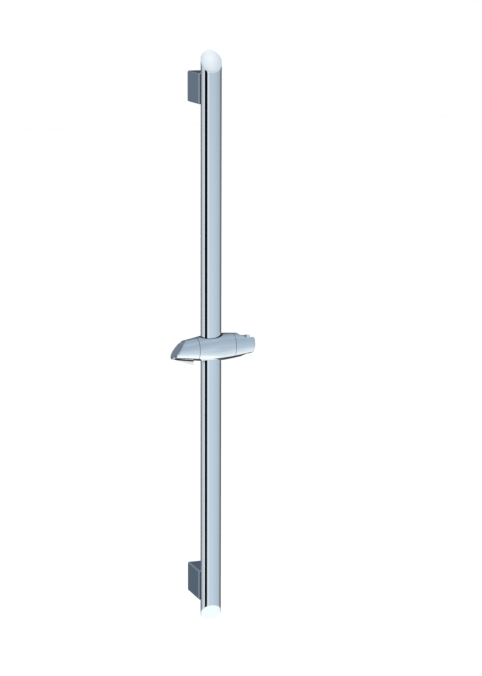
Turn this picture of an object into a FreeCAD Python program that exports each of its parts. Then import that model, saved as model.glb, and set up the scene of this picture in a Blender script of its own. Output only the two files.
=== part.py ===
import FreeCAD
import Part
import Sketcher
import math
import os
import re

# A wall rail for a hand shower: a mitred tube on two wall brackets, with a slider that is
# held by a sprung brake, swivels round the tube and carries a tilting holder.
# The origin is on the wall, midway between the two fixing holes. +Y goes into the wall, +Z is up.

# Driving sizes in millimetres and degrees. Sizes of the slider are measured from the tube's
# axis along X (positive towards the holder) and from the slider's own axis along Z.
SIZES = {
    "rail_height": (702.2, "from tip to tip, before the end caps are bevelled"),
    "tube_radius": (12.5, "outside of the tube"),
    "tube_wall": (1.2, "wall of the tube"),
    "mitre_angle": (45, "slope of the cut at both ends of the tube"),
    "mitre_turn": (8, "how far both cuts face to the left of the brackets"),
    "wall_distance": (52, "tube axis to wall"),
    "cap_plate": (2.2, "end cap's plate, square to its face"),
    "cap_bevel": (0.8, "bevel round an end cap's face"),
    "cap_spigot": (9, "end cap's spigot below its plate, along the tube"),
    "cap_wall": (1.6, "wall of the hollow spigot"),
    "press_clearance": (0.05, "gap of pieces that are pressed or glued together"),
    "fixing_inset": (46.1, "tip of the rail to the wall screw"),
    "bracket_side": (0.1, "bracket beyond the tube, to each side"),
    "bracket_height": (37, "bracket, along Z"),
    "bracket_corner": (2, "rounding of the bracket's long edges"),
    "bracket_wall": (3.4, "walls round the bracket's hollow"),
    "bracket_web": (4.5, "web between the hollow and the tube's saddle"),
    "saddle_reach": (7.9, "tube axis to the bracket's front"),
    "bevel_width": (0.9, "bevel round the bracket's front, across its front"),
    "bevel_depth": (1.5, "bevel round the bracket's front, along its sides"),
    "seat_height": (22, "recess in the bracket's front for the tube's seat"),
    "seat_gap": (1.5, "depth of that recess behind the tube"),
    "seat_rim": (1, "bracket's side to that recess"),
    "seat_sink": (1.5, "tube's seat below the bracket's front"),
    "plate_depth": (9, "wall plate inside the bracket, along Y"),
    "plate_clearance": (0.2, "wall plate to the bracket's hollow"),
    "wall_hole_radius": (2.75, "hole for a wall screw"),
    "wall_sink_radius": (5.4, "countersink for a wall screw"),
    "thread_radius": (2, "tube screws and grub screws"),
    "thread_clearance": (0.05, "screw to its hole"),
    "tube_hole_clearance": (0.2, "tube screw to its hole in the tube"),
    "head_radius": (3.6, "head of a tube screw"),
    "head_height": (2.6, "head of a tube screw"),
    "socket_depth": (1.3, "hexagon socket of tube screws and grub screws"),
    "socket_radius": (1.6, "hexagon socket, across its corners"),
    "nut_height": (15, "nut inside the tube, along Z"),
    "nut_width": (11, "nut inside the tube, along X"),
    "nut_thickness": (4.5, "nut inside the tube, along Y"),
    "slider_drop": (6, "slider axis below the middle of the rail"),
    "form_rise": (2.3, "slope of the slider's middle line, up towards the holder"),
    "tip_depth": (11.3, "half depth of the slider's section at the left tip"),
    "tip_height": (9.4, "half height of the slider's section at the left tip"),
    "belly_place": (10, "tube's axis to the slider's thickest section"),
    "belly_radius": (16.2, "slider's thickest section"),
    "belly_softness": (24, "length over which the thickest section passes into the tapers"),
    "tube_bulge": (4.6, "how much deeper the section at the tube is, to each side"),
    "top_square": (0.9, "how much squarer than an ellipse the section at the tube is, above"),
    "under_square": (0.3, "how much squarer than an ellipse the section at the tube is, below"),
    "square_reach": (23, "length over which the sections become round again"),
    "holder_seam": (27, "joint of body and holder"),
    "holder_length": (26, "joint of body and holder to the holder's right end"),
    "end_radius": (12, "slider's section at the right end"),
    "end_curve": (60, "radius of the right end, seen from the front"),
    "end_curve_rise": (8, "slider axis up to the middle of that curve"),
    "seam_gap": (0.5, "gap that shows at the slider's two joints"),
    "register_radius": (11, "grip's face against the body, inside the gap that shows"),
    "bush_wall": (1.9, "plastic bushes round the tube"),
    "bush_inner": (5.6, "slider axis to the inner end of a bush"),
    "bush_outer": (10.4, "slider axis to the outer end of a bush"),
    "running_clearance": (0.06, "radial gap of pieces that turn or slide in each other"),
    "bore_gap": (0.6, "body to tube between the bushes"),
    "shoe_half": (4.5, "half width and half height of the brake shoe"),
    "shoe_depth": (4.08, "brake shoe behind the middle of its hollow face"),
    "shoe_room": (2, "free length behind the brake shoe"),
    "seam_lead": (0.3, "back of the brake shoe to the joint of grip and body"),
    "shoe_clearance": (0.15, "brake shoe to its channel"),
    "pad_wall": (1.5, "rubber pad on the shoe"),
    "pad_gap": (0.12, "pad to tube"),
    "stem_radius": (2.2, "stem of the brake shoe"),
    "stem_clearance": (0.35, "stem to its hole in the grip"),
    "stem_head_radius": (3.4, "head at the stem's end"),
    "stem_head_height": (1.5, "head at the stem's end"),
    "spring_radius": (3.3, "centre line of the brake spring's wire"),
    "spring_wire": (0.45, "radius of the spring's wire"),
    "spring_turns": (4, "turns of the spring"),
    "spring_room": (6.8, "back of the brake shoe to the spring's seat in the grip"),
    "pocket_radius": (4.3, "spring's pocket in the grip"),
    "bulkhead_wall": (2.5, "spring's seat to the left face of the grip's solid part"),
    "grip_wall": (2.2, "wall of the hollow grip"),
    "tip_room": (15.4, "end of the brake's stem to the slider's left tip"),
    "face_angle": (52.5, "slope of the grip's end face"),
    "face_drop": (9.8, "slider axis down to the tip of the end face"),
    "face_plate": (2, "plate that closes the end face"),
    "face_sink": (0.3, "that plate below the rim round it"),
    "face_bevel": (1.2, "bevel of that rim"),
    "lever_half": (5.5, "half width of the release lever"),
    "lever_lead": (5.5, "lever's pivot to its left end"),
    "lever_tip_drop": (11.7, "slider axis down to the lever's left end"),
    "lever_setback": (5.2, "joint of grip and body to the lever's right end"),
    "lever_end_drop": (19.5, "slider axis down to the lever's right end"),
    "lever_top_drop": (10.4, "slider axis down to the lever's top"),
    "lever_round": (1.4, "rounding under the lever"),
    "lever_slot_gap": (0.3, "lever to the sides of its slot"),
    "lever_end_gap": (1.3, "lever's right end to the end of its slot"),
    "lever_tip_gap": (0.7, "lever's left end to the end of its slot"),
    "lever_slot_top": (8.2, "slider axis down to the slot's top"),
    "lever_room_gap": (1, "room above the lever's pivot boss"),
    "fork_room": (2.1, "grip's solid part to the lever's fork"),
    "fork_wall": (3, "fork, along X"),
    "fork_rise": (3, "slider axis up to the fork's ends"),
    "fork_slot_half": (2.7, "half width of the fork's slot"),
    "fork_slot_drop": (3.8, "slider axis down to the bottom of the fork's slot"),
    "fork_gap": (0.5, "fork to the stem's head"),
    "pivot_drop": (7, "slider axis down to the lever's pivot"),
    "pivot_boss": (2.6, "boss round the pivot"),
    "pivot_clearance": (0.54, "that boss to the plate of the end face"),
    "pin_radius": (1.25, "lever's pin"),
    "pin_half": (9.2, "half length of the lever's pin"),
    "grip_screw_radius": (1.5, "screws that hold the grip"),
    "grip_screw_place": (7.2, "grip screws, to each side of the slider's axis"),
    "grip_screw_head": (2.6, "head radius of the grip screws"),
    "grip_screw_height": (1.6, "head height of the grip screws"),
    "grip_screw_socket": (0.8, "hexagon socket of the grip screws"),
    "grip_screw_hold": (5, "grip screws into the body"),
    "screw_tip_room": (0.5, "hole beyond a screw's tip"),
    "hub_radius": (9, "holder's hub inside the body"),
    "hub_depth": (5.5, "hub into the body"),
    "boss_radius": (4, "body's boss inside the hub"),
    "hub_room": (1.2, "hub to the bottom of its seat"),
    "boss_sink": (0.55, "boss face below the joint of body and holder"),
    "lip_gap": (0.05, "holder's lip below the boss face"),
    "washer_radius": (5.5, "washer on the boss"),
    "washer_wall": (0.8, "thickness of the washer"),
    "washer_clearance": (0.3, "washer to the holder's counterbore"),
    "holder_screw_radius": (2, "screw in the boss"),
    "holder_head_radius": (3.6, "head of that screw"),
    "holder_head_height": (2.4, "head of that screw"),
    "holder_head_socket": (1.2, "hexagon socket of that screw"),
    "holder_screw_hold": (1.7, "tip of that screw beyond the root of the boss"),
    "ring_inset": (3.4, "rubber ring on the hub, from the joint of body and holder"),
    "ring_wire": (0.9, "radius of the ring's cord"),
    "ring_sink": (1.85, "depth of the ring's groove"),
    "ring_side_gap": (0.09, "ring to each side of its groove"),
    "cup_inset": (10, "axis of the cup for the hand shower, from the holder's right end"),
    "cup_half": (17, "half height of the cup's taper"),
    "cup_top": (9.9, "cup's radius at the top of its taper"),
    "cup_bottom": (8.5, "cup's radius at the bottom of its taper"),
    "mouth_half": (8, "half width of the cup's mouth"),
    "prong_round": (1.6, "rounding of the prongs"),
}

# How far a cutter runs past the faces that it cuts, where it runs free and where it has little room
REACH = "60"
OVERRUN = "1"

# Within this an edge counts as being where it is looked for, at so many points along it
NEAR = 0.1
EDGE_POINTS = 5

# Sections of the slider's outside on each side of the thickest one, and points round each
FORM_STEPS = 6
RING_POINTS = 24

# Places that follow from the sizes, each from the ones before it. Those of the grip are to the left.
PLACES = {
    "bracket_half": "tube_radius + bracket_side",
    "fixing_place": "rail_height / 2 - fixing_inset",
    "shoe_face": "tube_radius + pad_gap + pad_wall",
    "shoe_back": "shoe_face + shoe_depth",
    "grip_seam": "shoe_back + seam_lead",
    "spring_seat": "shoe_back + spring_room",
    "bulkhead": "spring_seat + bulkhead_wall",
    "fork_right": "bulkhead + fork_room",
    "fork_left": "fork_right + fork_wall",
    "stem_head": "fork_left + fork_gap",
    "stem_end": "stem_head + stem_head_height",
    "tip_reach": "stem_end + tip_room",
    "pivot_depth": "face_sink + face_plate + pivot_clearance + pivot_boss",
    "pivot_step": "pivot_depth + (face_drop - pivot_drop) * cos(face_angle)",
    "pivot_place": "tip_reach - pivot_step / sin(face_angle)",
    "lever_tip": "pivot_place + lever_lead",
    "lever_end": "grip_seam + lever_setback",
    "grip_screw_end": "grip_seam - grip_screw_hold",
    "boss_back": "holder_seam - hub_depth - hub_room",
    "boss_end": "holder_seam - boss_sink",
    "holder_screw_end": "boss_back - holder_screw_hold",
    "ring_place": "holder_seam - ring_inset",
    "hub_rise": "holder_seam * tan(form_rise)",
    "holder_reach": "holder_seam + holder_length",
    "cup_place": "holder_reach - cup_inset",
}

doc = FreeCAD.newDocument("shower_slide_rail")
sheet = doc.addObject("Spreadsheet::Sheet", "Sizes")
for row, (alias, (value, note)) in enumerate(SIZES.items(), start=1):
    sheet.set("A%d" % row, note)
    sheet.set("B%d" % row, str(value))
    sheet.setAlias("B%d" % row, alias)

pieces = {}
TURNS = {
    "x": FreeCAD.Rotation(FreeCAD.Vector(0, 1, 0), 90),
    "-x": FreeCAD.Rotation(FreeCAD.Vector(0, 1, 0), -90),
    "y": FreeCAD.Rotation(FreeCAD.Vector(1, 0, 0), -90),
    "-y": FreeCAD.Rotation(FreeCAD.Vector(1, 0, 0), 90),
    "z": FreeCAD.Rotation(),
}


def formula(text):
    """Point the names of sizes at the sheet, and those of places at their set."""
    def pointed(word):
        if word[0] in SIZES:
            return "Sizes." + word[0]
        return "Places." + word[0] if word[0] in PLACES else word[0]
    return re.sub(r"[a-z_]+", pointed, text)


def bind(item, **formulas):
    for name, text in formulas.items():
        item.setExpression(name, formula(text))
    return item


def place(item, x="0", y="0", z="0", turn=None):
    if turn:
        item.Placement = FreeCAD.Placement(FreeCAD.Vector(), turn)
    for axis, text in (("x", x), ("y", y), ("z", z)):
        item.setExpression("Placement.Base." + axis, formula(text))
    return item


def keep(label, item):
    """Name a finished piece, which names its file."""
    item.Label = label
    pieces[label] = item
    return item


def on_slider(item, **more):
    return place(item, y="-wall_distance", z="-slider_drop", **more)


def turned_on_tube(item):
    """Set a piece on the tube's axis, turned as the mitred ends are."""
    place(item, y="-wall_distance", turn=FreeCAD.Rotation(FreeCAD.Vector(0, 0, -1), 1))
    item.setExpression("Placement.Rotation.Angle", formula("mitre_turn"))
    return item


def box(name, x, y, z):
    """A box between two formulas along each axis."""
    item = doc.addObject("Part::Box", name)
    spans = ["(%s) - (%s)" % (high, low) for low, high in (x, y, z)]
    bind(item, Length=spans[0], Width=spans[1], Height=spans[2])
    return place(item, x[0], y[0], z[0])


def around(half):
    return "-(%s)" % half, half


def cylinder(name, radius, span, axis="z", **base):
    """A cylinder between two formulas along its axis."""
    item = doc.addObject("Part::Cylinder", name)
    bind(item, Radius=radius, Height="(%s) - (%s)" % (span[1], span[0]))
    base[axis] = span[0]
    return place(item, turn=TURNS[axis], **base)


def cone(name, radii, span, axis="z", **base):
    item = doc.addObject("Part::Cone", name)
    bind(item, Radius1=radii[0], Radius2=radii[1], Height="(%s) - (%s)" % (span[1], span[0]))
    base[axis] = span[0]
    return place(item, turn=TURNS[axis], **base)


def fuse(name, *shapes):
    item = doc.addObject("Part::MultiFuse", name)
    item.Shapes = list(shapes)
    return item


def common(name, *shapes):
    item = doc.addObject("Part::MultiCommon", name)
    item.Shapes = list(shapes)
    return item


def cut(name, base, *tools):
    item = doc.addObject("Part::Cut", name)
    item.Base = base
    item.Tool = fuse(name + "_tools", *tools) if len(tools) > 1 else tools[0]
    return item


def group(name, *shapes):
    item = doc.addObject("Part::Compound", name)
    item.Links = list(shapes)
    return item


def sketch(body, plane, name):
    item = body.newObject("Sketcher::SketchObject", name)
    support = [feature for feature in body.Origin.OriginFeatures if feature.Role == plane]
    item.AttachmentSupport = [(support[0], "")]
    item.MapMode = "FlatFace"
    return item


def fix(profile, geometry, corner, x, y):
    """Tie a point of a sketch to a formula along each of its axes."""
    for kind, text in (("DistanceX", x), ("DistanceY", y)):
        tie = profile.addConstraint(Sketcher.Constraint(kind, -1, 1, geometry, corner, 1.0))
        profile.setExpression("Constraints[%d]" % tie, formula(text))


def outline(profile, *corners):
    """A closed outline of straight lines through corners given by formulas."""
    count = len(corners)
    ring = [FreeCAD.Vector(math.cos(2 * math.pi * turn / count), math.sin(2 * math.pi * turn / count), 0)
            for turn in range(count)]
    first = profile.GeometryCount
    for turn in range(count):
        profile.addGeometry(Part.LineSegment(ring[turn], ring[(turn + 1) % count]), False)
    for turn in range(count):
        following = first + (turn + 1) % count
        profile.addConstraint(Sketcher.Constraint("Coincident", first + turn, 2, following, 1))
    for turn, (x, y) in enumerate(corners):
        fix(profile, first + turn, 1, x, y)
    return profile


def rectangle(profile, x, y):
    return outline(profile, (x[0], y[0]), (x[1], y[0]), (x[1], y[1]), (x[0], y[1]))


def circle(profile, radius, x="0", y="0"):
    shape = Part.Circle(FreeCAD.Vector(1, 1, 0), FreeCAD.Vector(0, 0, 1), 1)
    index = profile.addGeometry(shape, False)
    tie = profile.addConstraint(Sketcher.Constraint("Radius", index, 1.0))
    profile.setExpression("Constraints[%d]" % tie, formula(radius))
    fix(profile, index, 3, x, y)
    return profile


def pad(body, profile, length, symmetric=False):
    item = body.newObject("PartDesign::Pad", profile.Name + "_pad")
    item.Profile = profile
    item.SideType = "Symmetric" if symmetric else "One side"
    return bind(item, Length=length)


def pocket(body, profile, length, symmetric=False, reverse=False):
    item = body.newObject("PartDesign::Pocket", profile.Name + "_pocket")
    item.Profile = profile
    item.SideType = "Symmetric" if symmetric else "One side"
    item.Reversed = reverse
    return bind(item, Length=length)


def revolve(body, profile):
    """Turn a profile on the XZ plane round the body's Z axis."""
    item = body.newObject("PartDesign::Revolution", profile.Name + "_turned")
    item.Profile = profile
    item.ReferenceAxis = (profile, ["V_Axis"])
    item.Angle = 360
    return item


def round_edges(body, name, radius, chosen):
    """Round the edges of a body's last feature that a test picks."""
    doc.recompute()
    last = body.Tip
    names = ["Edge%d" % number for number, edge in enumerate(last.Shape.Edges, start=1) if chosen(edge)]
    item = body.newObject("PartDesign::Fillet", name)
    item.Base = (last, names)
    return bind(item, Radius=radius)


def size(name):
    """A size as the sheet holds it, or a place that follows from it."""
    return float(getattr(places if name in PLACES else sheet, name))


def screw(name, radius, length, head=None, socket="socket_depth"):
    """A screw along +Z from the top of its head, with a hexagon socket."""
    body = doc.addObject("PartDesign::Body", name)
    profile = sketch(body, "XZ_Plane", name + "_profile")
    if head:
        outline(profile, ("0", "0"), (head[0], "0"), (head[0], head[1]), (radius, head[1]),
                (radius, length), ("0", length))
    else:
        outline(profile, ("0", "0"), (radius, "0"), (radius, length), ("0", length))
    revolve(body, profile)
    hexagon = sketch(body, "XY_Plane", name + "_hexagon")
    corners = [("socket_radius * cos(%d)" % turn, "socket_radius * sin(%d)" % turn)
               for turn in range(0, 360, 60)]
    outline(hexagon, *corners)
    pocket(body, hexagon, socket, reverse=True)
    return body


places = doc.addObject("App::VarSet", "Places")
for name, text in PLACES.items():
    places.addProperty("App::PropertyFloat", name)
    places.setExpression(name, formula(text))
doc.recompute()


# The rail

def rail_tube():
    body = doc.addObject("PartDesign::Body", "tube")
    ring = sketch(body, "XY_Plane", "tube_ring")
    circle(ring, "tube_radius")
    circle(ring, "tube_radius - tube_wall")
    pad(body, ring, "rail_height", symmetric=True)
    low = "rail_height / 2 - cap_plate / cos(mitre_angle) - 3 * tube_radius * tan(mitre_angle)"
    high = "rail_height / 2 - cap_plate / cos(mitre_angle) + tube_radius * tan(mitre_angle)"
    for name, sign in (("tube_upper_cut", ""), ("tube_lower_cut", "-")):
        profile = sketch(body, "YZ_Plane", name)
        outline(profile, ("-2 * tube_radius", "%s(%s)" % (sign, low)),
                ("2 * tube_radius", "%s(%s)" % (sign, high)),
                ("2 * tube_radius", "%s(rail_height)" % sign),
                ("-2 * tube_radius", "%s(rail_height)" % sign))
        pocket(body, profile, "4 * tube_radius", symmetric=True)
    holes = sketch(body, "XZ_Plane", "tube_holes")
    turn_back = FreeCAD.Rotation(FreeCAD.Vector(0, 1, 0), 1)
    holes.AttachmentOffset = FreeCAD.Placement(FreeCAD.Vector(), turn_back)
    holes.setExpression("AttachmentOffset.Rotation.Angle", formula("mitre_turn"))
    for sign in ("", "-"):
        circle(holes, "thread_radius + tube_hole_clearance", y=sign + "fixing_place")
    pocket(body, holes, "2 * tube_radius")
    keep("rail_tube", turned_on_tube(body))


def mitre_slab(name, thickness, depth):
    """A slab square to the upper mitre, whose top lies a depth below the end face."""
    slab = doc.addObject("Part::Box", name)
    bind(slab, Length="8 * tube_radius", Width="8 * tube_radius", Height=thickness)
    slab.Placement = FreeCAD.Placement(FreeCAD.Vector(), FreeCAD.Rotation(FreeCAD.Vector(1, 0, 0), 45))
    slab.setExpression("Placement.Rotation.Angle", formula("mitre_angle"))
    below = "(%s + %s)" % (thickness, depth)
    return place(slab, "-4 * tube_radius",
                 "tube_radius - 4 * tube_radius * cos(mitre_angle) + %s * sin(mitre_angle)" % below,
                 "rail_height / 2 - 4 * tube_radius * sin(mitre_angle) - %s * cos(mitre_angle)" % below)


def end_caps():
    rod_span = ("rail_height / 2 - 6 * tube_radius", "rail_height / 2 + tube_radius")
    plate = common("cap_disc", cylinder("cap_rod", "tube_radius", rod_span),
                   mitre_slab("cap_slab", "cap_plate", "0"))
    doc.recompute()
    slope = math.tan(math.radians(size("mitre_angle")))
    face_height = size("rail_height") / 2 - size("tube_radius") * slope
    rim = [number for number, edge in enumerate(plate.Shape.Edges, start=1)
           if edge.Length > 2 * size("tube_radius") and abs(edge.CenterOfMass.z - face_height) < NEAR]
    bevelled = doc.addObject("Part::Chamfer", "cap_bevelled")
    bevelled.Base = plate
    bevelled.Edges = [(number, size("cap_bevel"), size("cap_bevel")) for number in rim]
    spigot_radius = "tube_radius - tube_wall - press_clearance"
    ring = cut("spigot_ring", cylinder("spigot_rod", spigot_radius, rod_span),
               cylinder("spigot_hollow", spigot_radius + " - cap_wall", rod_span))
    spigot = common("spigot", ring, mitre_slab("spigot_slab", "cap_spigot * cos(mitre_angle)", "cap_plate"))
    keep("upper_end_cap", turned_on_tube(fuse("upper_cap", bevelled, spigot)))
    lower = doc.addObject("Part::Mirroring", "lower_cap")
    lower.Source = pieces["upper_end_cap"]
    lower.Normal = FreeCAD.Vector(0, 0, 1)
    keep("lower_end_cap", lower)


def bracket(name):
    """A hollow block from the wall to the tube, bevelled in front, with a saddle and a recess behind it."""
    body = doc.addObject("PartDesign::Body", name)
    block = sketch(body, "XZ_Plane", name + "_block")
    rectangle(block, around("bracket_half"), around("bracket_height / 2"))
    pad(body, block, "wall_distance - saddle_reach")

    def long_edge(edge):
        return abs(edge.BoundBox.YLength - edge.Length) < NEAR
    round_edges(body, name + "_corners", "bracket_corner", long_edge)
    front = "saddle_reach - wall_distance"
    beyond = "%s - %s" % (front, OVERRUN)
    side_bevels = sketch(body, "XY_Plane", name + "_side_bevels")
    end_bevels = sketch(body, "YZ_Plane", name + "_end_bevels")
    for sign in ("", "-"):
        outline(side_bevels, ("%s(bracket_half - bevel_width)" % sign, front),
                (sign + "bracket_half", front + " + bevel_depth"),
                ("%s(bracket_half + %s)" % (sign, OVERRUN), beyond))
        outline(end_bevels, (front, "%s(bracket_height / 2 - bevel_width)" % sign),
                (front + " + bevel_depth", sign + "bracket_height / 2"),
                (beyond, "%s(bracket_height / 2 + %s)" % (sign, OVERRUN)))
    pocket(body, side_bevels, "2 * bracket_height", symmetric=True)
    pocket(body, end_bevels, "4 * bracket_half", symmetric=True)
    saddle = sketch(body, "XY_Plane", name + "_saddle")
    circle(saddle, "tube_radius + press_clearance", y="-wall_distance")
    pocket(body, saddle, "2 * bracket_height", symmetric=True)
    recess = sketch(body, "YZ_Plane", name + "_recess")
    rectangle(recess, ("-wall_distance", "tube_radius + seat_gap - wall_distance"),
              around("seat_height / 2"))
    pocket(body, recess, "2 * bracket_half - 2 * seat_rim", symmetric=True)
    hollow = sketch(body, "XZ_Plane", name + "_hollow")
    rectangle(hollow, around("bracket_half - bracket_wall"), around("bracket_height / 2 - bracket_wall"))
    pocket(body, hollow, "wall_distance - tube_radius - seat_gap - bracket_web", reverse=True)
    screw_hole = sketch(body, "XZ_Plane", name + "_screw_hole")
    circle(screw_hole, "thread_radius + thread_clearance")
    pocket(body, screw_hole, "wall_distance", reverse=True)
    grub_hole = sketch(body, "XY_Plane", name + "_grub_hole")
    circle(grub_hole, "thread_radius + thread_clearance", y="-plate_depth / 2")
    pocket(body, grub_hole, "bracket_height")
    return body


def wall_plate(name):
    half_width = "bracket_half - bracket_wall - plate_clearance"
    half_height = "bracket_height / 2 - bracket_wall - plate_clearance"
    block = box(name + "_block", around(half_width), ("-plate_depth", "0"), around(half_height))
    hole = cylinder(name + "_hole", "wall_hole_radius", ("-2 * plate_depth", "plate_depth"), "y")
    sink = cone(name + "_sink", ("wall_sink_radius", "wall_hole_radius"),
                ("-plate_depth", "wall_sink_radius - wall_hole_radius - plate_depth"), "y")
    return cut(name + "_cut", block, hole, sink)


def tube_seat(name):
    """A pad in the bracket's recess, hollowed to the tube."""
    block = box(name + "_block", around("bracket_half - seat_rim - press_clearance"),
                ("saddle_reach + seat_sink", "tube_radius + seat_gap - press_clearance"),
                around("seat_height / 2 - press_clearance"))
    hollow = cylinder(name + "_hollow", "tube_radius + press_clearance", around("seat_height"))
    hole = cylinder(name + "_hole", "thread_radius + thread_clearance", ("0", "2 * tube_radius"), "y")
    return cut(name + "_cut", block, hollow, hole)


def tube_nut(name):
    back = "tube_radius - tube_wall - press_clearance"
    block = box(name + "_block", around("nut_width / 2"), (back + " - nut_thickness", back),
                around("nut_height / 2"))
    curved = common(name + "_curved", block, cylinder(name + "_rod", back, around("nut_height")))
    hole = cylinder(name + "_hole", "thread_radius + thread_clearance", ("0", "2 * tube_radius"), "y")
    return cut(name + "_tapped", curved, hole)


def wall_fixings():
    """Both brackets with what is inside them."""
    grubs = []
    screws = []
    nuts = []
    screw_seat = "tube_radius + seat_gap + bracket_web - wall_distance"
    screw_tip = "tube_radius - tube_wall - nut_thickness - wall_distance"
    plate_half = "(bracket_height / 2 - bracket_wall - plate_clearance + press_clearance)"
    for name, height in (("upper", "fixing_place"), ("lower", "-fixing_place")):
        keep(name + "_bracket", place(bracket(name + "_block"), z=height))
        keep(name + "_wall_plate", place(wall_plate(name + "_plate"), z=height))
        keep(name + "_tube_seat", place(tube_seat(name + "_seat"), y="-wall_distance", z=height))
        grub = screw(name + "_grub", "thread_radius", "bracket_height / 2 - %s" % plate_half)
        grubs.append(place(grub, y="-plate_depth / 2", z="%s - bracket_height / 2" % height))
        fixing = screw(name + "_tube_screw", "thread_radius",
                       "head_height + (%s) - (%s)" % (screw_seat, screw_tip),
                       ("head_radius", "head_height"))
        screws.append(place(fixing, y=screw_seat + " + head_height", z=height, turn=TURNS["-y"]))
        nuts.append(place(tube_nut(name + "_nut"), y="-wall_distance", z=height))
    keep("bracket_grub_screws", group("grubs", *grubs))
    keep("tube_screws", group("screws", *screws))
    keep("tube_nuts", group("nuts", *nuts))


# The slider's outside

def slider_form(name, wall):
    """The cigar form that grip, body and holder share, or the room inside it below a wall.

    Its height and depth follow hyperbolas that fall off from the thickest section to both ends,
    its sections are deeper and squarer where the tube goes through, and its middle line rises to the right.
    """
    belly = size("belly_place")
    radius = size("belly_radius")
    soft = size("belly_softness")
    rise = math.tan(math.radians(size("form_rise")))

    def fall(distance):
        return math.hypot(distance, soft) - soft
    ends = (
        (-size("tip_reach"), size("tip_depth"), size("tip_height"), range(FORM_STEPS, 0, -1)),
        (size("holder_reach"), size("end_radius"), size("end_radius"), range(0, FORM_STEPS + 1)),
    )
    rings = []
    for end, end_depth, end_height, steps in ends:
        for step in steps:
            x = belly + (end - belly) * step / FORM_STEPS
            share = fall(x - belly) / fall(end - belly)
            near_tube = 1 / (1 + (x / size("square_reach")) ** 2) ** 2
            depth = radius + (end_depth - radius) * share + size("tube_bulge") * near_tube - wall
            height = radius + (end_height - radius) * share - wall
            powers = [2 + size(name) * near_tube for name in ("top_square", "under_square")]
            rings.append(form_ring(FreeCAD.Vector(x, 0, x * rise), depth, height, powers))
    form = doc.addObject("Part::Feature", name)
    form.Shape = Part.makeLoft(rings, True, False)
    return form


def form_ring(middle, depth, height, powers):
    """A closed curve across the slider. Its halves are elliptical at a power of 2 and squarer above it."""
    points = []
    for turn in range(RING_POINTS):
        angle = 2 * math.pi * turn / RING_POINTS
        power = powers[0] if turn < RING_POINTS / 2 else powers[1]
        reach = (abs(math.cos(angle)) ** power + abs(math.sin(angle)) ** power) ** (-1 / power)
        points.append(middle + FreeCAD.Vector(0, depth * math.cos(angle), height * math.sin(angle)) * reach)
    curve = Part.BSplineCurve()
    curve.interpolate(Points=points, PeriodicFlag=True)
    return Part.Wire(curve.toShape())


def slice_of(form, name, span):
    return common(name, form, box(name + "_box", span, around(REACH), around(REACH)))


def slider_body(form):
    block = slice_of(form, "body_block", ("-grip_seam", "holder_seam"))
    tools = [cylinder("body_bore", "tube_radius + bore_gap", around(REACH))]
    bush_radius = "tube_radius + 2 * running_clearance + bush_wall"
    shoulder = "bush_inner - press_clearance"
    tools.append(cylinder("upper_bush_seat", bush_radius, (shoulder, REACH)))
    tools.append(cylinder("lower_bush_seat", bush_radius, ("-" + REACH, "-(%s)" % shoulder)))
    channel = around("shoe_half + shoe_clearance")
    tools.append(box("shoe_channel", ("-grip_seam - " + OVERRUN, "-tube_radius / 2"), channel, channel))
    hub_seat = cut("hub_seat", cylinder("hub_seat_rod", "hub_radius + running_clearance",
                                        ("boss_back", "holder_seam + " + OVERRUN), "x", z="hub_rise"),
                   cylinder("boss", "boss_radius", ("boss_back - " + OVERRUN, "boss_end"), "x",
                            z="hub_rise"))
    tools.append(hub_seat)
    tools.append(cylinder("boss_hole", "holder_screw_radius + thread_clearance",
                          ("holder_screw_end - screw_tip_room", "holder_seam"), "x", z="hub_rise"))
    for name, sign in (("front", "-"), ("rear", "")):
        tools.append(cylinder(name + "_grip_thread", "grip_screw_radius + thread_clearance",
                              ("-grip_seam - " + OVERRUN, "-grip_screw_end + screw_tip_room"), "x",
                              y=sign + "grip_screw_place"))
    keep("slider_body", on_slider(cut("body_cut", block, *tools)))


def bushes():
    inside = "tube_radius + running_clearance"
    spans = {"upper_bush": ("bush_inner", "bush_outer"), "lower_bush": ("-bush_outer", "-bush_inner")}
    for name, span in spans.items():
        body = doc.addObject("PartDesign::Body", name + "_ring")
        profile = sketch(body, "XZ_Plane", name + "_profile")
        rectangle(profile, (inside, inside + " + bush_wall"), span)
        revolve(body, profile)
        keep(name, on_slider(body))


# The grip, with the lever and the brake inside it

def face_slab(name, thickness, depth):
    """A slab along the grip's end face, from a depth below it up to a thickness more."""
    slab = doc.addObject("Part::Box", name)
    bind(slab, Length="2 * tip_reach", Width="2 * tip_reach", Height=thickness)
    slab.Placement = FreeCAD.Placement(FreeCAD.Vector(), FreeCAD.Rotation(FreeCAD.Vector(0, -1, 0), 45))
    slab.setExpression("Placement.Rotation.Angle", formula("face_angle"))
    return place(slab, "-tip_reach - tip_reach * cos(face_angle) + %s * sin(face_angle)" % depth,
                 "-tip_reach", "-face_drop - tip_reach * sin(face_angle) - %s * cos(face_angle)" % depth)


def bevelled_face(shell):
    """The grip's shell, cut along its end face and bevelled there."""
    faced = cut("grip_faced", shell, face_slab("face_cut", "2 * tip_reach", "0"))
    doc.recompute()
    slope = math.radians(size("face_angle"))
    outwards = FreeCAD.Vector(-math.sin(slope), 0, math.cos(slope))
    tip = FreeCAD.Vector(-size("tip_reach"), 0, -size("face_drop"))

    def on_face(point):
        return abs((point - tip).dot(outwards)) < NEAR
    rim = [number for number, edge in enumerate(faced.Shape.Edges, start=1)
           if all(on_face(point) for point in edge.discretize(EDGE_POINTS))]
    bevelled = doc.addObject("Part::Chamfer", "grip_bevelled")
    bevelled.Base = faced
    bevelled.Edges = [(number, size("face_bevel"), size("face_bevel")) for number in rim]
    return bevelled


def grip_room(name, gap):
    """The room inside the grip, less a gap all round."""
    return slice_of(slider_form(name + "_form", size("grip_wall") + gap), name, ("-tip_reach", "-bulkhead"))


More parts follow.
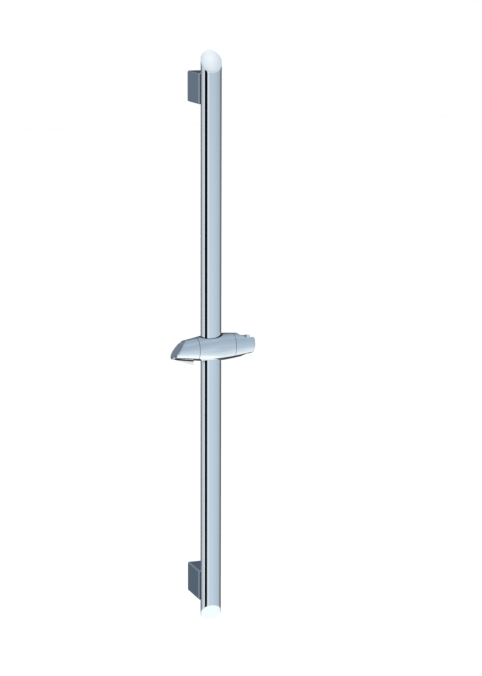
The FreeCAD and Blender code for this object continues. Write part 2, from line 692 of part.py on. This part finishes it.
def grip(form):
    shell = slice_of(form, "grip_shell", ("-tip_reach", "-grip_seam - seam_gap"))
    register = cylinder("grip_register", "register_radius", ("-bulkhead", "-grip_seam"), "x")
    block = fuse("grip_block", bevelled_face(shell), register)
    channel = around("shoe_half + shoe_clearance")
    slot = around("lever_half + lever_slot_gap")
    slot_start = "-lever_tip - lever_tip_gap"
    tools = [
        grip_room("grip_hollow", 0),
        box("lever_slot", (slot_start, "lever_end_gap - lever_end"), slot,
            ("-" + REACH, "-lever_slot_top")),
        box("lever_room", (slot_start, "-bulkhead"), slot,
            ("-lever_slot_top - " + OVERRUN, "pivot_boss + lever_room_gap - pivot_drop")),
        box("shoe_space", ("-shoe_back - shoe_room", OVERRUN + " - grip_seam"), channel, channel),
        cylinder("spring_pocket", "pocket_radius", ("-spring_seat", OVERRUN + " - grip_seam"), "x"),
        cylinder("stem_hole", "stem_radius + stem_clearance",
                 ("-bulkhead - " + OVERRUN, "-grip_seam"), "x"),
        cylinder("pin_hole", "pin_radius + thread_clearance", ("-pin_half - thread_clearance", REACH), "y",
                 x="-pivot_place", z="-pivot_drop"),
    ]
    for name, sign in (("front", "-"), ("rear", "")):
        tools.append(cylinder(name + "_grip_hole", "grip_screw_radius + thread_clearance",
                              ("-bulkhead - " + OVERRUN, OVERRUN + " - grip_seam"), "x",
                              y=sign + "grip_screw_place"))
    keep("grip_end", on_slider(cut("grip_cut", block, *tools)))
    face = common("face_cover", grip_room("face_room", size("press_clearance")),
                  face_slab("face_slab", "face_plate", "(face_sink + face_plate)"))
    keep("grip_end_cap", on_slider(face))
    screws = []
    for name, sign in (("front", "-"), ("rear", "")):
        item = screw(name + "_grip_screw", "grip_screw_radius",
                     "grip_screw_height + bulkhead - grip_screw_end",
                     ("grip_screw_head", "grip_screw_height"), "grip_screw_socket")
        screws.append(place(item, "-bulkhead - grip_screw_height", sign + "grip_screw_place",
                            turn=TURNS["x"]))
    keep("grip_screws", on_slider(group("grip_pair", *screws)))


def release_lever():
    """A finger plate under the grip, with a pivot at the tip and a fork that draws the brake's stem."""
    body = doc.addObject("PartDesign::Body", "lever")
    side = sketch(body, "XZ_Plane", "lever_side")
    outline(side, ("-lever_tip", "-lever_tip_drop"), ("-lever_end", "-lever_end_drop"),
            ("-lever_end", "-lever_top_drop"), ("-fork_right", "-lever_top_drop"),
            ("-fork_right", "fork_rise"), ("-fork_left", "fork_rise"),
            ("-fork_left", "-pivot_drop - pivot_boss"),
            ("-pivot_place", "-pivot_drop"), ("-pivot_place - pivot_boss", "-pivot_drop"))
    pad(body, side, "2 * lever_half", symmetric=True)

    def under_edge(edge):
        slanted = min(edge.BoundBox.XLength, edge.BoundBox.ZLength) > size("pivot_boss")
        return slanted and edge.CenterOfMass.z < -size("lever_tip_drop")
    round_edges(body, "lever_rounded", "lever_round", under_edge)
    boss = sketch(body, "XZ_Plane", "lever_boss")
    circle(boss, "pivot_boss", "-pivot_place", "-pivot_drop")
    pad(body, boss, "2 * lever_half", symmetric=True)
    bore = sketch(body, "XZ_Plane", "lever_bore")
    circle(bore, "pin_radius + running_clearance", "-pivot_place", "-pivot_drop")
    pocket(body, bore, "4 * lever_half", symmetric=True)
    slot = sketch(body, "YZ_Plane", "fork_slot")
    rectangle(slot, around("fork_slot_half"), ("-fork_slot_drop", "2 * fork_rise"))
    pocket(body, slot, "4 * fork_right", symmetric=True)
    keep("release_lever", on_slider(body))
    pin = cylinder("pin", "pin_radius", around("pin_half"), "y", x="-pivot_place", z="-pivot_drop")
    keep("lever_pin", on_slider(group("pin_group", pin)))


def brake():
    half = around("shoe_half")
    shoe = cut("shoe_block", box("shoe_box", ("-shoe_back", "-tube_radius / 2"), half, half),
               cylinder("shoe_hollow", "shoe_face", around(REACH)))
    stem = cylinder("stem", "stem_radius", ("-stem_end", OVERRUN + " - shoe_back"), "x")
    head = cylinder("stem_disc", "stem_head_radius", ("-stem_end", "-stem_head"), "x")
    keep("brake_shoe", on_slider(fuse("shoe", shoe, stem, head)))
    ring = cut("pad_ring", cylinder("pad_rod", "shoe_face - press_clearance", around(REACH)),
               cylinder("pad_hollow", "tube_radius + pad_gap", around(REACH)))
    pad_half = around("shoe_half - press_clearance")
    pad_box = box("pad_box", ("-2 * tube_radius", "-tube_radius / 2"), pad_half, pad_half)
    keep("brake_pad", on_slider(common("pad", ring, pad_box)))
    coil_length = "spring_room - 2 * spring_wire - 2 * press_clearance"
    helix = doc.addObject("Part::Helix", "spring_line")
    bind(helix, Radius="spring_radius", Height=coil_length, Pitch="(%s) / spring_turns" % coil_length)
    wire = doc.addObject("Part::Circle", "spring_section")
    bind(wire, Radius="spring_wire")
    place(wire, x="spring_radius", turn=TURNS["y"])
    coil = doc.addObject("Part::Sweep", "spring_coil")
    coil.Sections = [wire]
    coil.Spine = (helix, ["Edge1"])
    coil.Solid = True
    coil.Frenet = True
    on_slider(coil, x="-spring_seat + spring_wire + press_clearance", turn=TURNS["x"])
    keep("brake_spring", coil)


# The holder for the hand shower

def holder(form):
    start = "holder_seam + seam_gap"
    end_middle = "holder_reach - end_curve"
    end_rod = cylinder("end_rod", "end_curve", around(REACH), "y", x=end_middle, z="end_curve_rise")
    block = common("holder_block", slice_of(form, "holder_slice", (start, "holder_reach")), end_rod)
    hub_span = ("holder_seam - hub_depth", "%s + %s" % (start, OVERRUN))
    hub = cylinder("hub", "hub_radius", hub_span, "x", z="hub_rise")
    lip = "boss_end - lip_gap"
    groove_span = ("ring_place - ring_wire - ring_side_gap", "ring_place + ring_wire + ring_side_gap")
    groove_rod = cylinder("groove_rod", "hub_radius + " + OVERRUN, groove_span, "x", z="hub_rise")
    groove = cut("ring_groove", groove_rod,
                 cylinder("groove_floor", "hub_radius - ring_sink", ("0", "2 * ring_place"), "x",
                          z="hub_rise"))
    tools = [
        cone("cup", ("cup_bottom", "cup_top"), around("cup_half"), x="cup_place"),
        box("mouth", ("cup_place", "holder_reach + " + OVERRUN), around("mouth_half"), around(REACH)),
        cylinder("hub_bore", "boss_radius + running_clearance", ("0", "cup_place"), "x", z="hub_rise"),
        cylinder("screw_room", "washer_radius + washer_clearance", (lip, "cup_place"), "x", z="hub_rise"),
        groove,
    ]
    rough = cut("holder_cut", fuse("holder_solid", block, hub), *tools)
    doc.recompute()
    middle = FreeCAD.Vector(size("holder_reach") - size("end_curve"), 0, size("end_curve_rise"))

    def on_end(point):
        return abs(math.hypot(point.x - middle.x, point.z - middle.z) - size("end_curve")) < NEAR
    ends = [number for number, edge in enumerate(rough.Shape.Edges, start=1)
            if all(on_end(point) for point in edge.discretize(EDGE_POINTS))]
    rounded = doc.addObject("Part::Fillet", "holder_rounded")
    rounded.Base = rough
    rounded.Edges = [(number, size("prong_round"), size("prong_round")) for number in ends]
    keep("shower_holder", on_slider(rounded))
    ring = doc.addObject("Part::Torus", "ring")
    bind(ring, Radius1="hub_radius - ring_wire", Radius2="ring_wire")
    place(ring, "ring_place", z="hub_rise", turn=TURNS["x"])
    keep("holder_ring", on_slider(group("ring_group", ring)))
    washer_span = ("boss_end", "boss_end + washer_wall")
    washer_hole = "holder_screw_radius + thread_clearance"
    washer = cut("washer", cylinder("washer_rod", "washer_radius", washer_span, "x", z="hub_rise"),
                 cylinder("washer_hole", washer_hole, ("0", "cup_place"), "x", z="hub_rise"))
    keep("holder_washer", on_slider(washer))
    head_end = "boss_end + washer_wall + holder_head_height"
    item = screw("pivot_screw", "holder_screw_radius", head_end + " - holder_screw_end",
                 ("holder_head_radius", "holder_head_height"), "holder_head_socket")
    place(item, head_end, z="hub_rise", turn=TURNS["-x"])
    keep("holder_screw", on_slider(group("pivot_screw_group", item)))


rail_tube()
end_caps()
wall_fixings()
outside = slider_form("slider_form", 0)
slider_body(outside)
bushes()
grip(outside)
release_lever()
brake()
holder(outside)
doc.recompute()

faults = [item.Label for item in doc.Objects if {"Invalid", "Error"} & set(item.State)]
faults += [label for label, item in pieces.items() if item.Shape.isNull() or not item.Shape.isValid()]
if faults:
    raise RuntimeError("pieces that failed: " + ", ".join(faults))

os.makedirs("parts", exist_ok=True)
for label, item in pieces.items():
    item.Shape.exportStep("parts/%s.step" % label)
print("pieces written: %d" % len(pieces))
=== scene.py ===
from math import radians, degrees, sin, cos

import bpy
from mathutils import Vector, Matrix


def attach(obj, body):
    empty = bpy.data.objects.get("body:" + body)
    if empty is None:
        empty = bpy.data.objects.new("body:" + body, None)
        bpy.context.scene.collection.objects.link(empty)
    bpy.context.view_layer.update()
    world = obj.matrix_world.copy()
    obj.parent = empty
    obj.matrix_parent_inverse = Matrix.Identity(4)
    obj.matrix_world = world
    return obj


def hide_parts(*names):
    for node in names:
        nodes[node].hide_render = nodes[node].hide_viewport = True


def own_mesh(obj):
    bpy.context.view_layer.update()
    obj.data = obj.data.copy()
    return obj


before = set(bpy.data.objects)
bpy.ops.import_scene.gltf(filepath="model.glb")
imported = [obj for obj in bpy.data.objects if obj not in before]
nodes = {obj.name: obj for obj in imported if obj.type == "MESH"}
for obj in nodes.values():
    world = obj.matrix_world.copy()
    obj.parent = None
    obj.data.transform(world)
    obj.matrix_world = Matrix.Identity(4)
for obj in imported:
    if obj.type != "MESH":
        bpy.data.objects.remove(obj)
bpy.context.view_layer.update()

scene = bpy.context.scene
scene.view_settings.view_transform = "Standard"
print("frame loaded:", len(nodes), "nodes")


class Wire:  # a socket, so that shader maths is written as plain expressions
    def __init__(self, tree, socket=None):
        self.tree, self.socket = tree, socket

    def add(self, kind, settings=None, inputs=None, out=0):
        node = self.tree.nodes.new(kind)
        for name, value in (settings or {}).items():
            if name == "stops":
                ramp = node.color_ramp.elements
                while len(ramp) < len(value):
                    ramp.new(0.5)
                for stop, (place, colour) in zip(ramp, value):
                    stop.position, stop.color = place, (*colour, 1)
            else:
                setattr(node, name, value)
        for name, value in (inputs or {}).items():
            if isinstance(value, Wire):
                self.tree.links.new(value.socket, node.inputs[name])
            else:
                node.inputs[name].default_value = value
        return Wire(self.tree, node.outputs[out] if len(node.outputs) else None)

    def point(self):  # a place on the piece, in its own coordinates
        return self.add("ShaderNodeTexCoord", out="Object")

    def parts(self, vector):
        split = self.add("ShaderNodeSeparateXYZ", inputs={0: vector})
        return [Wire(self.tree, socket) for socket in split.socket.node.outputs]

    def noise(self, point, scale, detail):
        return self.add("ShaderNodeTexNoise", inputs={"Vector": point, "Scale": scale, "Detail": detail})

    def bump(self, height, strength, distance):
        inputs = {"Height": height, "Strength": strength, "Distance": distance}
        return self.add("ShaderNodeBump", inputs=inputs)

    def blend(self, share, first, second):  # two colours, each three numbers or a socket
        first, second = (tone if isinstance(tone, Wire) else (*tone, 1) for tone in (first, second))
        return self.add("ShaderNodeMix", {"data_type": "RGBA"}, {0: share, 6: first, 7: second}, out=2)

    def rise(self, value, half):  # 0 to 1 over a small step at zero
        return self.add("ShaderNodeMapRange", inputs={0: value, 1: -half, 2: half})

    def length(self, across, along):
        return self.maths("SQRT", across * across + along * along)

    def maths(self, operation, first, second=0.0):
        return self.add("ShaderNodeMath", {"operation": operation}, {0: first, 1: second})

    def __add__(self, other):
        return self.maths("ADD", self, other)

    __radd__ = __add__

    def __sub__(self, other):
        return self.maths("SUBTRACT", self, other)

    def __rsub__(self, other):
        return self.maths("SUBTRACT", other, self)

    def __mul__(self, other):
        return self.maths("MULTIPLY", self, other)

    __rmul__ = __mul__

    def __truediv__(self, other):
        return self.maths("DIVIDE", self, other)


def startMaterial(name):
    material = bpy.data.materials.new(name)
    material.use_nodes = True
    material.node_tree.nodes.clear()
    return material, Wire(material.node_tree)


camera = {  # place in metres, angles in degrees, lens and sensor in millimetres
    "place": (-0.90826, -2.77877, 0.54842), "turn": 19.145, "dip": 10.692, "roll": 0.194,
    "lens": 129.27, "sensor": 36, "clip": (0.05, 60),
}


def makeCamera():
    data = bpy.data.cameras.new("camera")
    data.lens, data.sensor_width = camera["lens"], camera["sensor"]
    data.clip_start, data.clip_end = camera["clip"]
    item = bpy.data.objects.new("camera", data)
    scene.collection.objects.link(item)
    turn = Matrix.Rotation(radians(-camera["turn"]), 4, "Z")
    tilt = Matrix.Rotation(radians(90 - camera["dip"]), 4, "X")
    roll = Matrix.Rotation(radians(camera["roll"]), 4, "Z")
    item.matrix_world = Matrix.Translation(camera["place"]) @ turn @ tilt @ roll
    scene.camera = item


makeCamera()
print("camera set")


# A white room. What the polished metal mirrors is set by direction, in degrees:
# sides are counted from about the camera's direction, right positive, and heights from level.
# A pair of numbers is a soft step, and two pairs are where a stretch comes and goes.
studio = {
    "faces": -18.4,
    "ring": [  # round the horizon, with a black flag at the left
        (-150, (0.12, 0.15, 0.18)), (-135, (0.24, 0.28, 0.30)), (-122, (0.46, 0.50, 0.55)),
        (-114, (0.54, 0.58, 0.64)), (-98, (0.54, 0.59, 0.65)), (-92, (0.62, 0.69, 0.73)),
        (-83, (0.72, 0.78, 0.84)), (-75.5, (1.12, 1.16, 1.20)), (-74, (0.02, 0.025, 0.03)),
        (-66, (0.0, 0.001, 0.003)), (-44, (0.0, 0.001, 0.003)), (-41, (0.60, 0.65, 0.69)),
        (-33, (0.75, 0.82, 0.88)), (-26, (0.73, 0.81, 0.86)), (-16, (0.60, 0.69, 0.77)),
        (10, (0.59, 0.69, 0.78)), (40, (0.55, 0.66, 0.76)), (65, (0.51, 0.61, 0.70)),
        (90, (0.48, 0.57, 0.64)), (108, (0.46, 0.53, 0.59)), (122, (0.26, 0.30, 0.34)),
        (140, (0.19, 0.21, 0.25))],
    "ringHeights": ((-25, -18), (-4, 1)),
    "lean": {"sides": (-64, -52), "level": -15.4, "turn": 0.33},  # the flag's left edge leans a little
    "shade": {"heights": (-11, -3), "sides": (-28, -18), "share": 0.105},  # darker upwards, right of the flag
    "front": [  # from the floor to the ceiling on the camera's side
        (-90, (1.06, 1.08, 1.08)), (-74, (1.03, 1.08, 1.08)), (-62, (0.98, 1.06, 1.07)),
        (-52, (0.79, 0.88, 0.92)), (-38, (0.70, 0.79, 0.84)), (-20, (0.61, 0.71, 0.78)),
        (-6, (0.53, 0.63, 0.71)), (8, (0.47, 0.57, 0.65)), (28, (0.42, 0.52, 0.61)),
        (52, (0.38, 0.48, 0.57)), (68, (0.45, 0.56, 0.65)), (90, (0.41, 0.50, 0.61))],
    "back": [  # from the floor to the ceiling behind the rail
        (-90, (1.06, 1.08, 1.08)), (-82, (1.05, 1.08, 1.08)), (-72, (0.16, 0.18, 0.19)),
        (-62, (0.05, 0.06, 0.065)), (-20, (0.05, 0.06, 0.07)), (-8, (0.12, 0.14, 0.16)),
        (2, (0.06, 0.08, 0.10)), (16, (0.08, 0.11, 0.145)), (23, (0.22, 0.26, 0.30)),
        (36, (0.30, 0.35, 0.40)), (55, (0.38, 0.47, 0.55)), (70, (0.36, 0.43, 0.51)),
        (90, (0.41, 0.50, 0.61))],
    "behindSides": (122, 142),
    "leftSides": ((-168, -158), (-120, -60)),  # behind at the left, which the brackets' left faces mirror
    "leftHeights": ((-40, -25), (2, 12)), "lowToHigh": (-14, -8),
    "lowLeft": (0.098, 0.134, 0.17), "highLeft": (0.14, 0.178, 0.227),
    "glowHeights": ((2, 12), (34, 46)), "leftGlow": (0.19, 0.225, 0.275),  # a paler stretch above it
}


def makeWorld():
    world = bpy.data.worlds.new("studio")
    world.use_nodes = True
    world.node_tree.nodes.clear()
    start = Wire(world.node_tree)
    x, y, z = start.parts(start.add("ShaderNodeTexCoord", out="Generated"))
    turn = radians(studio["faces"])
    front = x * sin(turn) - y * cos(turn)
    right = x * cos(turn) + y * sin(turn)
    side = start.maths("ARCTAN2", right, front) * degrees(1)
    height = start.maths("ARCSINE", z) * degrees(1)

    def step(value, low, high):  # 0 below low and 1 above high
        soft = {"interpolation_type": "SMOOTHSTEP"}
        return start.add("ShaderNodeMapRange", soft, {0: value, 1: low, 2: high})

    def stretch(value, comes, goes):
        return step(value, *comes) * (1 - step(value, *goes))

    def ramp(name, angle, limit):  # from -limit to limit
        stops = [((place + limit) / (2 * limit), colour) for place, colour in studio[name]]
        return start.add("ShaderNodeValToRGB", {"stops": stops}, {0: angle / (2 * limit) + 0.5})

    lean, shade = studio["lean"], studio["shade"]
    leaning = (height - lean["level"]) * (1 - step(side, *lean["sides"])) * lean["turn"]
    shaded = step(height, *shade["heights"]) * step(side, *shade["sides"]) * shade["share"]
    ring = start.blend(shaded, ramp("ring", side + leaning, 180), (0, 0, 0))
    wall = start.blend(stretch(height, *studio["ringHeights"]), ramp("front", height, 90), ring)

    left = stretch(side, *studio["leftSides"])
    leftTone = start.blend(step(height, *studio["lowToHigh"]), studio["lowLeft"], studio["highLeft"])
    back = start.blend(left * stretch(height, *studio["leftHeights"]), ramp("back", height, 90), leftTone)
    back = start.blend(left * stretch(height, *studio["glowHeights"]), back, studio["leftGlow"])

    behind = step(start.maths("ABSOLUTE", side), *studio["behindSides"])
    mirrored = start.blend(behind, wall, back)
    seen = start.blend(start.add("ShaderNodeLightPath", out="Is Glossy Ray"), (1, 1, 1), mirrored)
    light = start.add("ShaderNodeBackground", inputs={"Color": seen, "Strength": 1.0})
    start.add("ShaderNodeOutputWorld", inputs={"Surface": light})
    scene.world = world


ground = {"height": -0.47, "size": 14, "tones": ((0.99, 0.99, 0.99), (1, 1, 1)), "grain": 3.0}


def makeFloor():
    bpy.ops.mesh.primitive_plane_add(size=ground["size"], location=(0, 0, ground["height"]))
    floor = bpy.context.object
    floor.name = "floor"
    floor.visible_glossy = False
    material, start = startMaterial("paleFloor")
    grain = start.noise(start.point(), ground["grain"], detail=2.0)
    tone = start.blend(grain, *ground["tones"])
    pale = start.add("ShaderNodeBsdfDiffuse", inputs={"Color": tone, "Roughness": 0.5})
    clear = start.add("ShaderNodeBsdfTransparent")
    below = start.add("ShaderNodeNewGeometry", out="Backfacing")  # it is looked through from below
    shader = start.add("ShaderNodeMixShader", inputs={0: below, 1: pale, 2: clear})
    start.add("ShaderNodeOutputMaterial", inputs={"Surface": shader})
    floor.data.materials.append(material)


cards = {  # small softboxes beyond the rail's ends, seen only in mirrors, each brightest at one place
    "upperCard": {
        "place": (0.0505, -0.0809, 0.634), "size": 0.07, "middle": (-0.001, 0.005), "reach": (0.013, 0.022),
        "stops": [(0.0, (0.97, 1.03, 1.07)), (0.3, (0.95, 1.0, 1.04)), (0.7, (0.84, 0.89, 0.94)),
                  (1.0, (0.72, 0.79, 0.85))]},
    "lowerCard": {
        "place": (0.021, -0.025, -0.434), "size": 0.09, "middle": (0, 0), "reach": (0.04, 0.04),
        "stops": [(0.0, (1.02, 1.09, 1.07)), (1.0, (1.0, 1.06, 1.05))]},
}


def makeCard(name, spec):
    bpy.ops.mesh.primitive_plane_add(size=spec["size"], location=spec["place"])
    card = bpy.context.object
    card.name = name
    card.visible_camera = card.visible_diffuse = card.visible_shadow = False
    material, start = startMaterial(name)
    axes = zip(start.parts(start.point()), spec["middle"], spec["reach"])
    across, along = ((place - middle) / reach for place, middle, reach in axes)
    tone = start.add("ShaderNodeValToRGB", {"stops": spec["stops"]}, {0: start.length(across, along)})
    glow = start.add("ShaderNodeEmission", inputs={"Color": tone, "Strength": 1.0})
    start.add("ShaderNodeOutputMaterial", inputs={"Surface": glow})
    card.data.materials.append(material)


lamps = {  # soft lamps that light plastic and floor, and that the metal doesn't mirror
    "key": {"place": (-1.4, -1.8, 1.9), "size": 1.2, "power": 9},
    "fill": {"place": (1.8, -1.2, 0.9), "size": 1.5, "power": 4},
}


def makeLamp(name, spec):
    data = bpy.data.lights.new(name, "AREA")
    data.size, data.energy = spec["size"], spec["power"]
    lamp = bpy.data.objects.new(name, data)
    scene.collection.objects.link(lamp)
    lamp.location = spec["place"]
    lamp.rotation_euler = (-Vector(spec["place"])).to_track_quat("-Z", "Y").to_euler()
    lamp.visible_glossy = lamp.visible_camera = False


makeWorld()
makeFloor()
for cardName, cardSpec in cards.items():
    makeCard(cardName, cardSpec)
for lampName, lampSpec in lamps.items():
    makeLamp(lampName, lampSpec)
print("studio set")


boreShade = {  # painted shade: near black within this radius of the tube's axis, for the shadow in the gap round the tube
    "middle": (0, -0.052), "radius": 0.01456, "edge": 0.00005,
    "tone": (0.03, 0.03, 0.032), "metal": 0.0, "rough": 0.5,
}


# painted shade: 1 within the radius round the tube, 0 outside
def inBoreShade(start, x, y, z):
    across, along = (place - middle for place, middle in zip((x, y), boreShade["middle"]))
    return start.rise(boreShade["radius"] - start.length(across, along), boreShade["edge"])


bevelShade = {  # painted shade: the brackets' front edges next to the tube are darkened for the shade in the slot there, and a little rougher
    "front": 0.04262, "side": 0.01168, "edge": 0.00002,
    "tone": (0.34, 0.38, 0.43), "metal": 1.0, "rough": 0.1,
}


# painted shade: 1 on the brackets' front edges beside the tube, 0 elsewhere
def onShadedBevel(start, x, y, z):
    beside = start.maths("ABSOLUTE", x) - bevelShade["side"]
    return start.rise(beside, bevelShade["edge"]) * start.rise(0 - y - bevelShade["front"], bevelShade["edge"])


rim = {  # the end caps' rims, below their slanted faces, are softly blasted
    "slant": (-0.0984, -0.7002, 0.7071), "face": 0.27576, "foot": 0.27502, "edge": 0.00002,
    "tone": (0.91, 0.94, 0.96), "metal": 0.65, "rough": 0.2,
}


def onRim(start, x, y, z):
    across, out, up = rim["slant"]
    depth = x * across + y * out + start.maths("ABSOLUTE", z) * up
    return start.rise(rim["face"] - depth, rim["edge"]) * start.rise(depth - rim["foot"], rim["edge"])


chrome = {  # plated and polished, with faint clouds, orange peel and small dull spots
    "tones": ((0.88, 0.905, 0.93), (0.90, 0.92, 0.94)), "rough": 0.025,
    "cloudScale": 45.0, "cloudRough": 0.03,
    "spotScale": 520.0, "spotSize": (0.06, 0.14), "spotRough": 0.05,
    "peelScale": 260.0, "peel": 0.02, "peelHeight": 0.0004,
}


def polishedChrome(name, place=None, zone=None):
    material, start = startMaterial(name)
    point = start.point()
    cloud = start.noise(point, chrome["cloudScale"], detail=4.0)
    peel = start.noise(point, chrome["peelScale"], detail=2.0)
    spots = start.add("ShaderNodeTexVoronoi", inputs={"Vector": point, "Scale": chrome["spotScale"]})
    near, far = chrome["spotSize"]
    spot = start.add("ShaderNodeMapRange", inputs={
        0: spots, 1: near, 2: far, 3: chrome["spotRough"], 4: 0.0})
    tone = start.blend(cloud, *chrome["tones"])
    metal = 1.0
    rough = cloud * chrome["cloudRough"] + spot + chrome["rough"]
    # a zone that is either painted shade (the slider body round the tube, the brackets' front edges) or the
    # caps' blasted rims
    if place:
        inside = place(start, *start.parts(point))
        tone = start.blend(inside, tone, zone["tone"])
        if zone["metal"] < 1:
            metal = 1 - inside * (1 - zone["metal"])
        rough = rough + inside * zone["rough"]
    bump = start.bump(peel, chrome["peel"], chrome["peelHeight"])
    shader = start.add("ShaderNodeBsdfPrincipled", inputs={
        "Base Color": tone, "Metallic": metal, "Roughness": rough, "Normal": bump})
    start.add("ShaderNodeOutputMaterial", inputs={"Surface": shader})
    return material


steel = {  # zinc-plated, with fine marks
    "tones": ((0.50, 0.51, 0.54), (0.68, 0.69, 0.70)), "rough": 0.22,
    "cloudScale": 300.0, "cloudRough": 0.2,
    "markScale": 1800.0, "mark": 0.15, "markHeight": 0.0001,
}


def screwSteel():
    material, start = startMaterial("screwSteel")
    point = start.point()
    cloud = start.noise(point, steel["cloudScale"], detail=4.0)
    marks = start.noise(point, steel["markScale"], detail=2.0)
    tone = start.blend(cloud, *steel["tones"])
    rough = cloud * steel["cloudRough"] + steel["rough"]
    bump = start.bump(marks, steel["mark"], steel["markHeight"])
    shader = start.add("ShaderNodeBsdfPrincipled", inputs={
        "Base Color": tone, "Metallic": 1.0, "Roughness": rough, "Normal": bump})
    start.add("ShaderNodeOutputMaterial", inputs={"Surface": shader})
    return material


mould = {"cloudScale": 180.0, "grainRough": 0.15, "grain": 0.25, "grainHeight": 0.0001}
# painted shade: the lever's top, in the gap under the grip, is painted near black above this sloping line
leverShade = {"top": -0.02395, "slope": -0.13, "edge": 0.0002, "tone": (0.02, 0.02, 0.022)}
plastics = {
    "grey_plastic": {
        "name": "greyPlastic", "tones": ((0.27, 0.28, 0.30), (0.36, 0.37, 0.39)),
        "rough": 0.42, "grainScale": 2600.0, "gloss": 0.5},
    "pale_plastic": {  # the lever, whose top edge is painted near black as painted shade where it goes into the grip
        "name": "palePlastic", "tones": ((0.72, 0.73, 0.75), (0.79, 0.79, 0.81)),
        "rough": 0.3, "grainScale": 2400.0, "gloss": 0.5, "shadedTop": leverShade},
    "dark_plastic": {
        "name": "darkPlastic", "tones": ((0.016, 0.016, 0.018), (0.03, 0.03, 0.033)),
        "rough": 0.45, "grainScale": 2400.0, "gloss": 0.15},
    "black_rubber": {
        "name": "blackRubber", "tones": ((0.02, 0.02, 0.02), (0.036, 0.036, 0.036)),
        "rough": 0.68, "grainScale": 1500.0, "gloss": 0.2},
}


def moulded(spec):  # fine grain, mottled tone and gloss
    material, start = startMaterial(spec["name"])
    point = start.point()
    cloud = start.noise(point, mould["cloudScale"], detail=4.0)
    grain = start.noise(point, spec["grainScale"], detail=3.0)
    tone = start.blend(cloud, *spec["tones"])
    # painted shade: a near-black band at the top of the lever, for the shadow gap under the grip
    if "shadedTop" in spec:
        x, y, z = start.parts(point)
        gapShade = spec["shadedTop"]
        above = start.rise(z - x * gapShade["slope"] - gapShade["top"], gapShade["edge"])
        tone = start.blend(above, tone, gapShade["tone"])
    rough = grain * mould["grainRough"] + spec["rough"]
    bump = start.bump(grain, mould["grain"], mould["grainHeight"])
    shader = start.add("ShaderNodeBsdfPrincipled", inputs={
        "Base Color": tone, "Roughness": rough, "Specular IOR Level": spec["gloss"], "Normal": bump})
    start.add("ShaderNodeOutputMaterial", inputs={"Surface": shader})
    return material


finishes = {"polished_chrome": polishedChrome("polishedChrome"), "screw_steel": screwSteel()}
for slotName, plastic in plastics.items():
    finishes[slotName] = moulded(plastic)
# painted shade, near black, on the slider body round the tube
zoned = {"slider_body": polishedChrome("boreShadeChrome", inBoreShade, boreShade)}
zoned["upper_end_cap"] = zoned["lower_end_cap"] = polishedChrome("rimmedChrome", onRim, rim)
# painted shade on the brackets' front edges by the tube
zoned["upper_bracket"] = zoned["lower_bracket"] = polishedChrome("bevelShadeChrome", onShadedBevel, bevelShade)
slots = {  # all other nodes are polished chrome
    "screw_steel": ["bracket_grub_screws", "tube_screws", "tube_nuts", "grip_screws", "lever_pin",
                    "brake_spring", "holder_washer", "holder_screw"],
    "grey_plastic": ["upper_wall_plate", "lower_wall_plate"],
    "pale_plastic": ["release_lever"],
    "dark_plastic": ["upper_bush", "lower_bush", "upper_tube_seat", "lower_tube_seat", "brake_shoe"],
    "black_rubber": ["brake_pad", "holder_ring"],
}
for nodeName, node in nodes.items():
    slotName = next((slot for slot, members in slots.items() if nodeName in members), "polished_chrome")
    node.data.materials.clear()
    node.data.materials.append(zoned.get(nodeName, finishes[slotName]))
print("materials set")


spring = {  # a merged and smoothed copy of the brake spring, carried with the slider
    "seat": (-0.025, -0.052, -0.006), "keep": 0.9, "merge": 1e-6, "smooth": 40,
}


def makeSpring():
    coil = bpy.data.objects.new("brakeCoil", nodes["brake_spring"].data.copy())
    scene.collection.objects.link(coil)
    bpy.ops.object.select_all(action="DESELECT")
    coil.select_set(True)
    bpy.context.view_layer.objects.active = coil
    bpy.ops.object.mode_set(mode="EDIT")
    bpy.ops.mesh.select_all(action="SELECT")
    bpy.ops.mesh.remove_doubles(threshold=spring["merge"])
    bpy.ops.object.mode_set(mode="OBJECT")
    bpy.ops.object.shade_smooth_by_angle(angle=radians(spring["smooth"]))
    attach(coil, "slider")
    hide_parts("brake_spring")
    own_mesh(coil)


makeSpring()
print("spring made")
